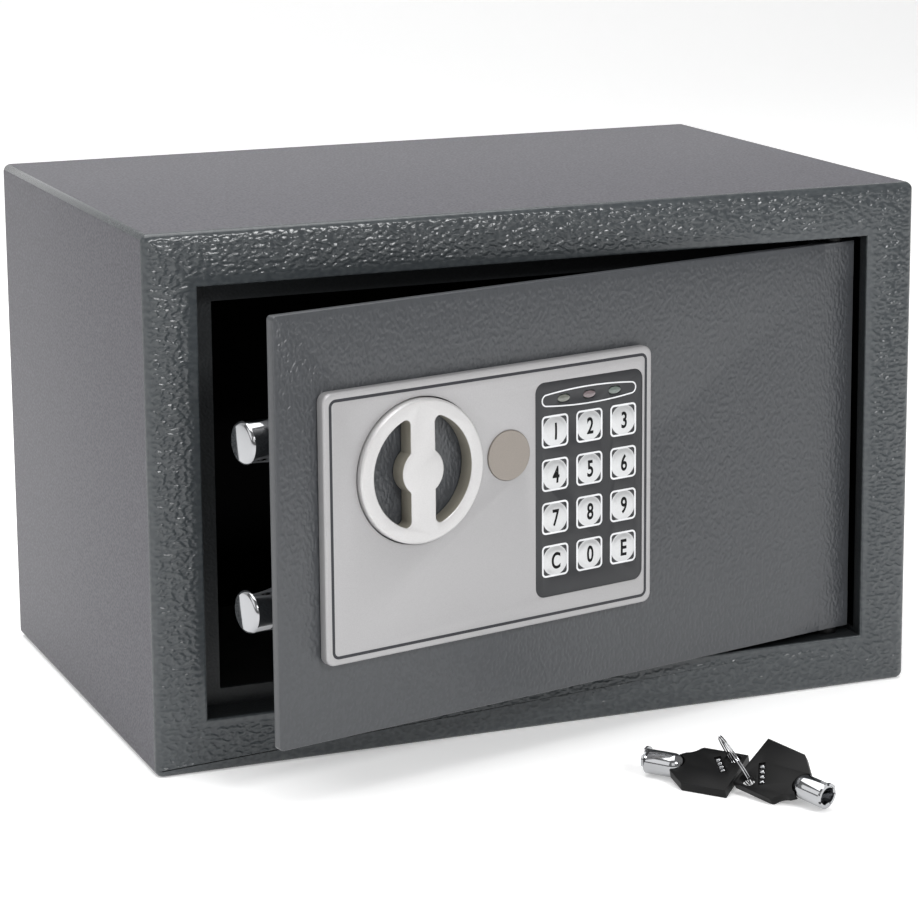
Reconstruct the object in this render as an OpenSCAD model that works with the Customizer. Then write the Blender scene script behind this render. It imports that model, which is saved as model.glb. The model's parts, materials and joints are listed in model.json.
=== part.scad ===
// Small steel safe with an electronic keypad, standing with its door ajar.
// Origin: centre of the base. +X right, +Y back, +Z up. Millimetres.
// Everything on the door is drawn shut, then turned open about the hinge.

/* [Cabinet] */
// Width of the cabinet
cabinet_w = 310; // [250:1:420]
// Depth of the cabinet
cabinet_d = 200; // [160:1:360]
// Height of the cabinet
cabinet_h = 200; // [160:1:300]
// Thickness of the cabinet's sheet steel
shell_t = 1.5; // [1:0.1:2]
// Outer radius of the cabinet's four long bends
shell_r = 3; // [2:0.5:6]
// Width of the front frame round the door opening
rim_w = 20; // [16:1:26]
// Depth of the flange folded back from the front frame
return_depth = 18; // [16:0.5:24]
// Depth of that flange on the hinge side
hinge_return_depth = 6; // [4:0.5:7]
// Width of the stop lip that the bolts lock behind
lip_left = 10; // [7:0.5:12]
// Width of the upper stop lip
lip_top = 8.5; // [5:0.5:10]
// Width of the lower stop lip
lip_bottom = 6; // [4:0.5:8]
// Thickness of the back panel
back_t = 2; // [1.5:0.1:3]
// Diameter of the anchor holes in floor and back
anchor_d = 10; // [8:0.5:12]
// Distance between the two anchor holes of a pair
anchor_pitch = 200; // [160:1:210]
// Thickness of the felt mat on the floor
mat_t = 2; // [1:0.5:4]

/* [Door] */
// Thickness of the door plate
door_t = 4; // [3:0.5:5]
// Gap between the shut door and the opening, on each side
door_gap = 2.5; // [2:0.1:4]
// How far the shut door sits behind the front frame
door_recess = 6; // [5:0.5:8]
// Angle at which the door stands open
door_angle = 13; // [0:1:60]
// Distance from the door's edge in to the hinge line
hinge_inset = 7.5; // [7:0.1:10]
// Diameter of the hinge pins
hinge_pin_d = 5; // [4:0.5:5.5]
// Height of the hinge blocks
hinge_block_h = 14; // [12:0.5:18]
// Depth of the box that covers the lockwork, behind the door plate
cover_depth = 28; // [27:0.5:32]
// Thickness of the lockwork cover
cover_t = 1.2; // [1:0.1:1.5]
// Radius of the cover's rear upright bends
cover_r = 5; // [3:0.5:6]
// Distance from the door's free edge to the cover
cover_left = 16; // [15:0.5:18]
// Distance from the door's hinge edge to the cover
cover_right = 32; // [28:1:50]
// Distance from the door's top edge to the cover
cover_top = 18; // [14:0.5:19]
// Distance from the door's bottom edge to the cover
cover_bottom = 22; // [18:0.5:23]

/* [Bolts] */
// Diameter of the two bolts
bolt_d = 16; // [14:0.5:16]
// Chamfer at the end of a bolt
bolt_chamfer = 1; // [0.5:0.1:2]
// How far the thrown bolts pass the door's edge
bolt_proud = 0.8; // [0:0.1:1]
// Distance between the bolts
bolt_pitch = 61; // [58:0.5:64]
// Thickness of the plate that carries the bolts
carriage_t = 2.5; // [2:0.1:3]
// Radius at which the crank's pin turns
crank_r = 14; // [12:0.5:14]
// Diameter of the crank's pin
crank_pin_d = 5; // [4:0.5:5]
// Clearance between a bolt and its bush
bolt_fit = 0.08; // [0.02:0.01:0.1]

/* [Control panel] */
// Width of the control panel
panel_w = 144.5; // [140:0.5:150]
// Height of the control panel
panel_h = 98; // [94:0.5:104]
// Thickness of the control panel
panel_t = 4.5; // [4.2:0.1:6]
// Corner radius of the control panel
panel_r = 3.5; // [2:0.5:5]
// Distance from the door's free edge to the panel
panel_inset = 17; // [14:0.5:20]
// Distance from the panel's edge to its dark line
inlay_inset = 2.5; // [1.5:0.1:3]
// Width of the dark line
inlay_w = 0.8; // [0.5:0.1:1.2]

/* [Knob] */
// Outer diameter of the knob
knob_d = 52.5; // [46:0.5:56]
// How far the knob stands out of the panel
knob_proud = 2.5; // [1.5:0.1:6]
// Distance from the panel's left edge to the knob's centre
knob_x = 40; // [36:0.5:42]
// Distance from the panel's top edge to the knob's centre
knob_drop = 32.5; // [31:0.5:36]
// Width of the knob's outer ring
knob_ring = 5.4; // [4:0.1:7]
// Width of the knob's grip bar
grip_w = 10.5; // [8:0.5:14]
// Diameter of the knob's hub
hub_d = 17.5; // [16:0.5:20]
// Corner radius of the finger gaps
gap_r = 2; // [1:0.1:3]
// Diameter of the knob's shaft
shaft_d = 8; // [6:0.5:9]
// Gap between the knob and the panel
knob_gap = 0.5; // [0.3:0.1:1]
// Running clearance of shafts and pins, on the radius
running_fit = 0.05; // [0.02:0.01:0.09]

/* [Keypad] */
// Width of the keypad plate
keypad_w = 49.3; // [48.5:0.1:51]
// Height of the keypad plate
keypad_h = 80.6; // [79:0.1:84]
// Distance from the panel's left edge to the keypad plate
keypad_x = 90.8; // [90:0.1:91]
// Distance from the panel's top edge to the keypad plate
keypad_drop = 7.8; // [6:0.1:9]
// Diameter of a key's dome
key_d = 10.6; // [9:0.1:11]
// Distance between two columns of keys
key_pitch_x = 15.7; // [14.8:0.1:15.8]
// Distance between two rows of keys
key_pitch_z = 16.2; // [15:0.1:16.6]
// How far a key stands out of the keypad plate
key_proud = 1.3; // [1:0.1:2]
// Travel of a key
key_travel = 0.7; // [0.4:0.1:0.8]
// Distance between two lamps
lamp_pitch = 11.7; // [9:0.1:14]

/* [Emergency lock] */
// Distance from the panel's left edge to the lock
lock_x = 78.8; // [76:0.1:79]
// Diameter of the cap over the lock
cap_d = 18.5; // [17:0.1:19]
// How far the cap stands out of the panel
cap_proud = 0.7; // [0.4:0.1:1.5]
// Diameter of the lock's barrel
barrel_d = 16; // [14:0.5:16]
// Diameter of the lock's turning plug
plug_d = 9.6; // [9:0.1:10.5]
// Length of the cam that lifts the blocking plunger
cam_len = 20; // [19:0.5:22]

/* [Blocking plunger] */
// Diameter of the plunger
plunger_d = 6; // [5:0.5:6]
// Stroke of the plunger
plunger_stroke = 5; // [4:0.5:5]

/* [Batteries] */
// Diameter of a battery cell
cell_d = 14.5; // [14:0.1:14.5]
// Length of a battery cell
cell_len = 50.5; // [49:0.5:50.5]
// Number of battery cells
cell_count = 4; // [2:1:4]

/* [Reset button] */
// Diameter of the reset button
reset_d = 7; // [5:0.5:9]
// Travel of the reset button
reset_travel = 1.5; // [1:0.1:2]

/* [Spare keys] */
// Outer diameter of a key's tube
key_tube_d = 9; // [8:0.5:10]
// Inner diameter of a key's tube
key_bore_d = 7; // [6:0.5:7.5]
// Length of a key's tube past its head
key_tube_len = 11; // [9:0.5:20]
// Length of a key's plastic head
key_head_len = 24.4; // [24:0.1:30]
// Width of a key's plastic head
key_head_w = 21.4; // [20:0.1:28]
// Thickness of a key's plastic head
key_head_t = 3.5; // [3:0.1:4]
// Diameter of the split ring, to the middle of its wire
ring_d = 20.2; // [20:0.1:20.4]
// Thickness of the split ring
ring_t = 1.2; // [0.8:0.1:1.3]

/* [Hidden] */
$fn = 96;
keypad_keys = ["1", "2", "3", "4", "5", "6", "7", "8", "9", "c", "0", "e"];

// cabinet
half_w = cabinet_w / 2;
front_y = -cabinet_d / 2;
rear_y = cabinet_d / 2;
open_l = -half_w + rim_w;
open_r = half_w - rim_w;
open_b = rim_w;
open_t = cabinet_h - rim_w;
return_end = front_y + return_depth;
anchor_y = 20;
anchor_z = cabinet_h / 2;

// door plate, drawn shut
door_l = open_l + door_gap;
door_r = open_r - door_gap;
door_b = open_b + door_gap;
door_u = open_t - door_gap;
door_front = front_y + door_recess;
door_back = door_front + door_t;
door_mid_z = (door_b + door_u) / 2;
door_corner_r = 1.5;

// hinge
hinge_x = door_r - hinge_inset;
hinge_y = door_front + 5;
hinge_block_w = 2 * hinge_inset;
hinge_block_d = 10;
hinge_lug_w = 16;
hinge_lug_d = 14;
hinge_lug_t = 6;
pin_head_d = 9;
pin_head_t = 2;
pin_reach = 12;
washer_play = 0.1;
lip_stop_x = hinge_x - 12;

// lockwork cover
cover_l = door_l + cover_left;
cover_e = door_r - cover_right;
cover_b = door_b + cover_bottom;
cover_u = door_u - cover_top;
cover_back = door_back + cover_depth;
cover_in = cover_back - cover_t;
screw_d = 4;
post_d = 8;
post_inset = 9;
post_shift = 24;
post_clear = 0.5;

// bolts and their carriage
bolt_r = bolt_d / 2;
bolt_y = door_back + 17;
bolt_tip = door_l - bolt_proud;
bolt_z0 = door_mid_z - 1;
bolt_zs = [bolt_z0 + bolt_pitch / 2, bolt_z0 - bolt_pitch / 2];
bush_wall = 1.5;
bush_len = 8;
tab_t = 2.5;
tab_gap = 0.4;
carriage_y = bolt_y - bolt_r - 2.3;
carriage_mid = carriage_y + carriage_t / 2;

// control panel and what lines up with it
panel_l = door_l + panel_inset;
panel_top = door_mid_z + panel_h / 2;
panel_bot = panel_top - panel_h;
panel_front = door_front - panel_t;
knob_cx = panel_l + knob_x;
knob_cz = panel_top - knob_drop;
knob_front = panel_front - knob_proud;
knob_back = door_front - 0.3;
lock_cx = panel_l + lock_x;
lock_cz = knob_cz;

// crank: its pin stands at 45 degrees to the left of upright when the bolts are out
crank_rise = crank_r * cos(45);
crank_travel = 2 * crank_rise;
crank_t = 3;
crank_front = carriage_y - crank_t - 0.4;
slot_play = 0.6;
slot_w = crank_pin_d + 2 * slot_play;

// the bolts end at tabs just clear of the crank pin's slot
web_l = knob_cx - crank_rise - slot_w / 2 - tab_gap - tab_t;
web_w = tab_t + tab_gap + slot_w + 3;
bolt_end = web_l;
bolt_len = bolt_end - bolt_tip;

// keypad
keypad_l = panel_l + keypad_x;
keypad_top = panel_top - keypad_drop;
keypad_cx = keypad_l + keypad_w / 2;
keypad_cz = keypad_top - keypad_h / 2;
keypad_r = 4;
keypad_sink = 0.15;
plate_t = 1;
plate_front = panel_front + keypad_sink;
key_hole_play = 0.25;
key_row_z = keypad_top - 18.6;
key_flange_t = 0.7;
board_t = 1.2;
ledge = 1.2;
lamp_z = keypad_top - 6.9;
lamp_len = 5.5;
lamp_h = 3;

// emergency lock
cap_t = 2.4;
cap_back = panel_front - cap_proud + cap_t;
barrel_front = cap_back + 0.2;
barrel_flange_t = 0.8;
barrel_end = door_back + 16;
lock_nut_t = 3.2;
cam_t = 2;
cam_front = barrel_end + 0.3;

// blocking plunger and the arm with the notch that it drops into
coil_frame_w = 16;
plunger_x = web_l + web_w + crank_travel + 0.4 + coil_frame_w / 2;
arm_rise = 5.5;
arm_top = bolt_zs[1] + arm_rise;
arm_h = 10;
notch_play = 0.5;
plunger_tip = arm_top + 0.5;
collar_z = plunger_tip + plunger_stroke + 0.5;
collar_t = 1.5;
coil_frame_z = collar_z + collar_t + 5.5;
coil_frame_h = 16;
coil_frame_t = 1.5;
plunger_head_z = coil_frame_z + coil_frame_h + plunger_stroke + 1.2;
plunger_head_t = 2;
lift_pin_d = 3;
lift_pin_z = plunger_head_z + plunger_head_t / 2;

// the cam waits a quarter turn away from where it would stand just under the lifted pin
cam_w = 7;
lift_dx = plunger_x - lock_cx;
lift_dz = lift_pin_z - lock_cz;
cam_angle = 90 + atan2(lift_dz, lift_dx)
    + asin((cam_w / 2 + lift_pin_d / 2 + 0.4) / norm([lift_dx, lift_dz]));

// batteries
case_wall = 1.5;
case_w = cell_count * cell_d + 1 + 2 * case_wall;
case_h = cell_len + 6 + 2 * case_wall;
case_d = cell_d + 3;
case_x = -6;
case_z = 74;
case_y = cover_in - case_d;
contact_t = 2.2;
lid_play = 0.3;

// reset button
reset_x = 76;
reset_z = cover_u - 24;
reset_out = 1.6;
switch_w = 11;

// spare keys on the floor in front of the cabinet, the first lying over the second
key_places = [
    // [x, y, z of the head's middle, heading, pitch, roll]
    [27.6, -186.9, 5.2, 129, 0.5, -19.3],
    [41.8, -201.5, 8.5, -69, -6.2, 36.4]
];
key_back = -8.5;
key_neck = key_back + key_head_len;
key_neck_w = 9.6;
key_flare = 7;
key_ball_x = key_neck + 1;
key_pin_d = 2.6;
key_pin_len = 6;
ring_slot_l = 6.6;
ring_slot_w = 4.2;
ring_slot_wall = 1.1;
key_window = [10, 2.6, 0.8];
key_window_at = [-0.8, -3];
key_window_turn = -53;
ring_place = [31.96, -193.51, 11.19];
ring_tilt = 59.7;
ring_heading = -10.8;

// ---- shapes that repeat ----

// rectangle with round corners, exact arcs
module round_rect(w, h, r) {
    square([w - 2 * r, h], center = true);
    square([w, h - 2 * r], center = true);
    for (x = [-1, 1], z = [-1, 1])
        translate([x * (w / 2 - r), z * (h / 2 - r)]) circle(r);
}

// a profile drawn in X and Z, standing between two depths
module slab(y0, y1) {
    translate([0, y1, 0]) rotate([90, 0, 0]) linear_extrude(y1 - y0) children();
}

// a rod along Y between two depths
module rod_y(x, z, r, y0, y1) {
    translate([x, y1, z]) rotate([90, 0, 0]) cylinder(r = r, h = y1 - y0);
}

// what is on the door stands open with it
module on_door() {
    translate([hinge_x, hinge_y, 0])
        rotate([0, 0, door_angle])
            translate([-hinge_x, -hinge_y, 0]) children();
}

// oval, long side along X
module oval(w, h) {
    square([w - h, h], center = true);
    for (x = [-1, 1]) translate([x * (w - h) / 2, 0]) circle(h / 2);
}

// ---- cabinet ----

module outer_shell() {
    color("dimgray") difference() {
        union() {
            slab(front_y, rear_y) difference() {
                translate([0, cabinet_h / 2]) round_rect(cabinet_w, cabinet_h, shell_r);
                translate([0, cabinet_h / 2])
                    round_rect(cabinet_w - 2 * shell_t, cabinet_h - 2 * shell_t, shell_r - shell_t);
            }
            slab(front_y, front_y + shell_t) difference() {
                translate([0, cabinet_h / 2])
                    round_rect(cabinet_w - shell_t, cabinet_h - shell_t, shell_r - shell_t / 2);
                opening_profile(0);
            }
            slab(front_y, return_end) difference() {
                opening_profile(shell_t);
                opening_profile(0);
            }
            slab(return_end - shell_t, return_end) lip_profile();
        }
        // the hinge side's flange is short, so that the door's edge can swing
        translate([open_r - 0.5, front_y + hinge_return_depth, open_b + shell_t])
            cube([shell_t + 1, return_depth, open_t - open_b - 2 * shell_t]);
        for (x = [-1, 1] * anchor_pitch / 2)
            translate([x, anchor_y, -1]) cylinder(d = anchor_d, h = shell_t + 2);
        for (z = [open_b - 5, open_t - 5])
            translate([hinge_x, hinge_y, z]) cylinder(r = hinge_pin_d / 2 + running_fit, h = 10);
    }
}

module opening_profile(grow) {
    translate([open_l - grow, open_b - grow])
        square([open_r - open_l + 2 * grow, open_t - open_b + 2 * grow]);
}

module lip_profile() {
    translate([open_l, open_b]) square([lip_left, open_t - open_b]);
    translate([open_l, open_t - lip_top]) square([lip_stop_x - open_l, lip_top]);
    translate([open_l, open_b]) square([lip_stop_x - open_l, lip_bottom]);
}

module back_panel() {
    color("dimgray") slab(rear_y - back_t, rear_y) difference() {
        translate([0, cabinet_h / 2])
            round_rect(cabinet_w - 2 * shell_t, cabinet_h - 2 * shell_t, shell_r);
        for (x = [-1, 1] * anchor_pitch / 2) translate([x, anchor_z]) circle(d = anchor_d);
    }
}

module hinge_lugs() {
    color("dimgray") for (z = [open_t + shell_t, open_b - shell_t - hinge_lug_t])
        difference() {
            translate([hinge_x - hinge_lug_w / 2, hinge_y - hinge_lug_d / 2, z])
                cube([hinge_lug_w, hinge_lug_d, hinge_lug_t]);
            translate([hinge_x, hinge_y, z - 1])
                cylinder(r = hinge_pin_d / 2 + running_fit, h = hinge_lug_t + 2);
        }
}

module hinge_pins() {
    head_z = open_t + shell_t + hinge_lug_t;
    low_z = open_b - shell_t - hinge_lug_t;
    color("silver") translate([hinge_x, hinge_y, 0]) {
        translate([0, 0, door_u - pin_reach])
            cylinder(d = hinge_pin_d, h = head_z - door_u + pin_reach + 0.5);
        translate([0, 0, head_z]) cylinder(d = pin_head_d, h = pin_head_t);
        translate([0, 0, low_z - 0.5])
            cylinder(d = hinge_pin_d, h = door_b + pin_reach - low_z + 0.5);
        translate([0, 0, low_z - pin_head_t]) cylinder(d = pin_head_d, h = pin_head_t);
    }
}

module hinge_washers() {
    color("white") for (z = [open_b, door_u + washer_play])
        translate([hinge_x, hinge_y, z]) difference() {
            cylinder(d = pin_head_d, h = door_gap - washer_play);
            translate([0, 0, -1]) cylinder(r = hinge_pin_d / 2 + running_fit, h = door_gap + 2);
        }
}

module floor_mat() {
    edge = 2;
    color("black") difference() {
        translate([-half_w + shell_t + edge, return_end + edge, shell_t])
            cube([cabinet_w - 2 * (shell_t + edge), rear_y - back_t - return_end - 2 * edge, mat_t]);
        for (x = [-1, 1] * anchor_pitch / 2)
            translate([x, anchor_y, 0]) cylinder(d = anchor_d + 2, h = shell_t + mat_t + 1);
    }
}

// ---- door ----

module door_plate() {
    color("dimgray") on_door() slab(door_front, door_back) difference() {
        translate([(door_l + door_r) / 2, door_mid_z])
            round_rect(door_r - door_l, door_u - door_b, door_corner_r);
        for (z = [door_b - 1, door_u - hinge_block_h])
            translate([hinge_x - hinge_block_w / 2, z])
                square([hinge_block_w + 1, hinge_block_h + 1]);
        translate([knob_cx, knob_cz]) circle(d = shaft_d + 4);
        translate([lock_cx, lock_cz]) circle(d = barrel_d + 0.3);
        translate([keypad_cx, keypad_cz]) square([20, 8], center = true);
    }
}

module hinge_blocks() {
    color("dimgray") on_door() for (z = [door_b, door_u - hinge_block_h])
        difference() {
            translate([hinge_x - hinge_block_w / 2, hinge_y - hinge_block_d / 2, z])
                cube([hinge_block_w, hinge_block_d, hinge_block_h]);
            translate([hinge_x, hinge_y, z == door_b ? z - 1 : z + hinge_block_h - pin_reach - 0.5])
                cylinder(r = hinge_pin_d / 2 + running_fit, h = pin_reach + 1.5);
        }
}

// plan of the cover, its rear bends round
module cover_plan(grow) {
    w = cover_e - cover_l + 2 * grow;
    r = cover_r + grow;
    y0 = door_back - (grow < 0 ? 1 : 0);
    y1 = cover_back + grow;
    translate([cover_l - grow, y0]) square([w, y1 - y0 - r]);
    translate([cover_l - grow + r, y0]) square([w - 2 * r, y1 - y0]);
    for (x = [cover_l - grow + r, cover_e + grow - r]) translate([x, y1 - r]) circle(r);
}

module door_cover() {
    color("darkslategray") on_door() difference() {
        translate([0, 0, cover_b]) linear_extrude(cover_u - cover_b) cover_plan(0);
        translate([0, 0, cover_b + cover_t])
            linear_extrude(cover_u - cover_b - 2 * cover_t) cover_plan(-cover_t);
        for (z = bolt_zs)
            translate([cover_l - 1, bolt_y, z]) rotate([0, 90, 0])
                cylinder(r = bolt_r + bolt_fit + bush_wall, h = cover_r + 1);
        // window over the batteries
        translate([case_x + case_wall, cover_in - 1, case_z + case_wall])
            cube([case_w - 2 * case_wall, cover_t + 2, case_h - 2 * case_wall]);
        rod_y(reset_x, reset_z, reset_d / 2 + 0.3, cover_in - 1, cover_back + 1);
        for (p = post_places()) rod_y(p[0], p[1], screw_d / 2 + 0.3, cover_in - 1, cover_back + 1);
        translate([cover_l - 1, plug_y(), bolt_z0]) rotate([0, 90, 0])
            cylinder(d = screw_d, h = cover_t + 2);
    }
}

function plug_y() = (door_back + cover_back) / 2;
// the lower posts keep clear of the bolt plate's lower edge, and the left posts of the bolts' bushes
function post_low() = min(cover_b + post_inset, bolt_zs[1] - bolt_r - post_d / 2 - post_clear);
function post_places() = [
    for (x = [cover_l + post_inset + post_shift, cover_e - post_inset], z = [post_low(), cover_u - post_inset])
        [x, z]
];

module cover_posts() {
    color("silver") on_door() for (p = post_places()) difference() {
        rod_y(p[0], p[1], post_d / 2, door_back, cover_in);
        rod_y(p[0], p[1], screw_d / 2 + running_fit, cover_in - 10, cover_in + 1);
    }
}

module cover_screws() {
    color("black") on_door() for (p = post_places()) {
        rod_y(p[0], p[1], screw_d / 2, cover_in - 9, cover_back + 0.1);
        difference() {
            rod_y(p[0], p[1], 3.7, cover_back, cover_back + 2.2);
            rod_y(p[0], p[1], 1.3, cover_back + 1, cover_back + 3);
        }
    }
}

// screw in the cover's left wall, between the bolts
module side_plug() {
    color("black") on_door() translate([cover_l, plug_y(), bolt_z0]) rotate([0, 90, 0]) {
        cylinder(d = screw_d - 0.1, h = 8);
        difference() {
            translate([0, 0, -2]) cylinder(d = 8.6, h = 2);
            translate([0, 0, -3]) cylinder(d = 3, h = 2);
        }
    }
}

module bolt_bushes() {
    color("black") on_door() intersection() {
        for (z = bolt_zs) translate([cover_l, bolt_y, z]) rotate([0, 90, 0]) difference() {
            cylinder(r = bolt_r + bolt_fit + bush_wall, h = bush_len);
            translate([0, 0, -1]) cylinder(r = bolt_r + bolt_fit, h = bush_len + 2);
        }
        translate([0, 0, cover_b]) linear_extrude(cover_u - cover_b) cover_plan(0);
    }
}

module control_panel() {
    color("lightgray") on_door() difference() {
        slab(panel_front, door_front) translate([panel_l + panel_w / 2, door_mid_z])
            round_rect(panel_w, panel_h, panel_r);
        inlay_ring(0.5, 1);
        rod_y(knob_cx, knob_cz, knob_d / 2 + knob_gap, panel_front - 1, door_front + 1);
        rod_y(lock_cx, lock_cz, cap_d / 2 + 0.15, panel_front - 1, barrel_front + barrel_flange_t);
        rod_y(lock_cx, lock_cz, barrel_d / 2 + 0.15, panel_front, door_front + 1);
        slab(panel_front - 1, plate_front + plate_t) translate([keypad_cx, keypad_cz])
            round_rect(keypad_w, keypad_h, keypad_r);
        slab(plate_front, door_front + 1) translate([keypad_cx, keypad_cz])
            square([keypad_w - 2 * ledge, keypad_h - 2 * ledge], center = true);
    }
}

// dark line let into the face of the panel
module inlay_ring(depth, above) {
    w = panel_w - 2 * inlay_inset;
    h = panel_h - 2 * inlay_inset;
    r = panel_r - 1;
    slab(panel_front - above, panel_front + depth)
        translate([panel_l + panel_w / 2, door_mid_z]) difference() {
            round_rect(w, h, r);
            round_rect(w - 2 * inlay_w, h - 2 * inlay_w, r - inlay_w);
        }
}

module panel_inlay() {
    color("black") on_door() inlay_ring(0.5, 0);
}

module keypad_plate() {
    color("darkslategray") on_door() slab(plate_front, plate_front + plate_t) difference() {
        translate([keypad_cx, keypad_cz]) round_rect(keypad_w, keypad_h, keypad_r);
        for (i = [0:11]) translate([key_cx(i), key_cz(i)]) circle(key_d / 2 + key_hole_play);
        for (i = [-1:1]) translate([keypad_cx + i * lamp_pitch, lamp_z]) oval(lamp_len, lamp_h);
    }
}

module lamp(i) {
    on_door() slab(plate_front - 0.3, plate_front + plate_t)
        translate([keypad_cx + i * lamp_pitch, lamp_z]) oval(lamp_len, lamp_h);
}
module lamp_left() { color("yellowgreen") lamp(-1); }
module lamp_middle() { color("pink") lamp(0); }
module lamp_right() { color("palegreen") lamp(1); }

module keypad_board() {
    play = 0.4;
    color("green") on_door() slab(door_front - board_t, door_front)
        translate([keypad_cx, keypad_cz])
            square([keypad_w - 2 * ledge - 2 * play, keypad_h - 2 * ledge - 2 * play], center = true);
}

function key_cx(i) = keypad_cx + (i % 3 - 1) * key_pitch_x;
function key_cz(i) = key_row_z - floor(i / 3) * key_pitch_z;

module keypad_key(i) {
    flange_y = plate_front + plate_t + 0.1;
    crown_r = 16;
    stem = flange_y - plate_front + key_proud;
    color("gainsboro") on_door() translate([key_cx(i), flange_y, key_cz(i)]) rotate([90, 0, 0])
        rotate_extrude() {
            translate([0, -key_flange_t]) square([key_d / 2 + 0.8, key_flange_t]);
            // domed face
            intersection() {
                square([key_d / 2, stem]);
                translate([0, stem - crown_r]) circle(crown_r);
            }
        }
}

module lock_barrel() {
    color("silver") on_door() difference() {
        union() {
            rod_y(lock_cx, lock_cz, cap_d / 2, barrel_front, barrel_front + barrel_flange_t);
            rod_y(lock_cx, lock_cz, barrel_d / 2, barrel_front, barrel_end);
        }
        rod_y(lock_cx, lock_cz, plug_d / 2 + running_fit, barrel_front - 1, barrel_end + 1);
    }
}

module lock_nut() {
    color("silver") on_door() difference() {
        translate([lock_cx, door_back + lock_nut_t, lock_cz]) rotate([90, 0, 0])
            cylinder(d = barrel_d + 7, h = lock_nut_t, $fn = 6);
        rod_y(lock_cx, lock_cz, barrel_d / 2 + running_fit, door_back - 1, door_back + 5);
    }
}

module solenoid_frame() {
    y0 = door_back;
    y1 = barrel_end - 0.3;
    color("silver") on_door() difference() {
        translate([plunger_x - coil_frame_w / 2, y0, coil_frame_z])
            cube([coil_frame_w, y1 - y0, coil_frame_h]);
        translate([plunger_x - coil_frame_w, y0 + coil_frame_t, coil_frame_z + coil_frame_t])
            cube([2 * coil_frame_w, y1 - y0, coil_frame_h - 2 * coil_frame_t]);
        translate([plunger_x, carriage_mid, coil_frame_z - 1])
            cylinder(d = plunger_d + 0.6, h = coil_frame_h + 2);
    }
}

module solenoid_coil() {
    coil_d = 2 * (carriage_mid - door_back - coil_frame_t) - 0.4;
    color("firebrick") on_door()
        translate([plunger_x, carriage_mid, coil_frame_z + coil_frame_t]) difference() {
            cylinder(d = coil_d, h = coil_frame_h - 2 * coil_frame_t);
            translate([0, 0, -1]) cylinder(r = plunger_d / 2 + running_fit, h = coil_frame_h);
        }
}

module plunger_spring() {
    color("silver") on_door() translate([plunger_x, carriage_mid, collar_z + collar_t]) difference() {
        cylinder(d = plunger_d + 2, h = coil_frame_z - collar_z - collar_t);
        translate([0, 0, -1]) cylinder(d = plunger_d + 0.8, h = coil_frame_z);
    }
}

module battery_case() {
    color("black") on_door() difference() {
        translate([case_x, case_y, case_z]) cube([case_w, case_d, case_h]);
        translate([case_x + case_wall, case_y + case_wall, case_z + case_wall])
            cube([case_w - 2 * case_wall, case_d, case_h - 2 * case_wall]);
    }
}

function cell_cx(i) = case_x + case_wall + 0.5 + (i + 0.5) * cell_d;
cell_y = case_y + case_wall + 0.4 + cell_d / 2;
cell_z = case_z + case_wall + 3;

module battery_cells() {
    color("darkgoldenrod") on_door() for (i = [0:cell_count - 1]) {
        up = i % 2 == 0;
        translate([cell_cx(i), cell_y, cell_z]) {
            translate([0, 0, up ? 0 : 1]) cylinder(d = cell_d - 0.4, h = cell_len - 1);
            translate([0, 0, up ? cell_len - 1.1 : 0]) cylinder(d = 5.5, h = 1.1);
        }
    }
}

module battery_contacts() {
    color("silver") on_door() for (i = [0:cell_count - 1], z = [cell_z - 3, cell_z + cell_len + 0.8])
        translate([cell_cx(i), cell_y, z]) cylinder(d = 6, h = contact_t);
}

module knob_bush() {
    color("white") on_door() difference() {
        union() {
            rod_y(knob_cx, knob_cz, shaft_d / 2 + 2, door_front, door_back + 1.5);
            rod_y(knob_cx, knob_cz, shaft_d / 2 + 4, door_back, door_back + 1.5);
        }
        rod_y(knob_cx, knob_cz, shaft_d / 2 + running_fit, door_front - 1, door_back + 3);
    }
}

module reset_switch() {
    color("black") on_door() translate([reset_x - switch_w / 2, door_back, reset_z - switch_w / 2])
        cube([switch_w, cover_in - 5.6 - reset_travel - door_back, switch_w]);
}

// ---- knob ----

// one finger gap of the knob, right of the grip bar, its outer corners round
module finger_gap() {
    ring_in = knob_d / 2 - knob_ring;
    cx = grip_w / 2 + gap_r;
    cz = sqrt(pow(ring_in - gap_r, 2) - cx * cx);
    k = ring_in / (ring_in - gap_r);
    difference() {
        intersection() {
            circle(ring_in);
            translate([grip_w / 2, -ring_in]) square([ring_in, 2 * ring_in]);
        }
        circle(hub_d / 2);
        for (s = [-1, 1]) difference() {
            polygon([
                [grip_w / 2 - 0.1, s * cz], [cx, s * cz], [cx * k, s * cz * k],
                [grip_w / 2 - 0.1, s * (ring_in + 1)]
            ]);
            translate([cx, s * cz]) circle(gap_r);
        }
    }
}

module knob() {
    edge = 1;
    color("silver") on_door() difference() {
        union() {
            rod_y(knob_cx, knob_cz, knob_d / 2, knob_front + edge, knob_back);
            // rounded front edge
            translate([knob_cx, knob_front + edge, knob_cz]) rotate([90, 0, 0])
                rotate_extrude() intersection() {
                    union() {
                        square([knob_d / 2 - edge, edge]);
                        translate([knob_d / 2 - edge, 0]) circle(edge);
                    }
                    square([knob_d, edge]);
                }
        }
        slab(knob_front - 1, knob_back + 1) translate([knob_cx, knob_cz]) {
            finger_gap();
            mirror([1, 0]) finger_gap();
        }
        rod_y(knob_cx, knob_cz, shaft_d / 2 + running_fit, knob_front + 2, knob_back + 1);
    }
}

module knob_shaft() {
    color("silver") on_door() rod_y(knob_cx, knob_cz, shaft_d / 2, knob_front + 2.1, crank_front + crank_t);
}

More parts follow.
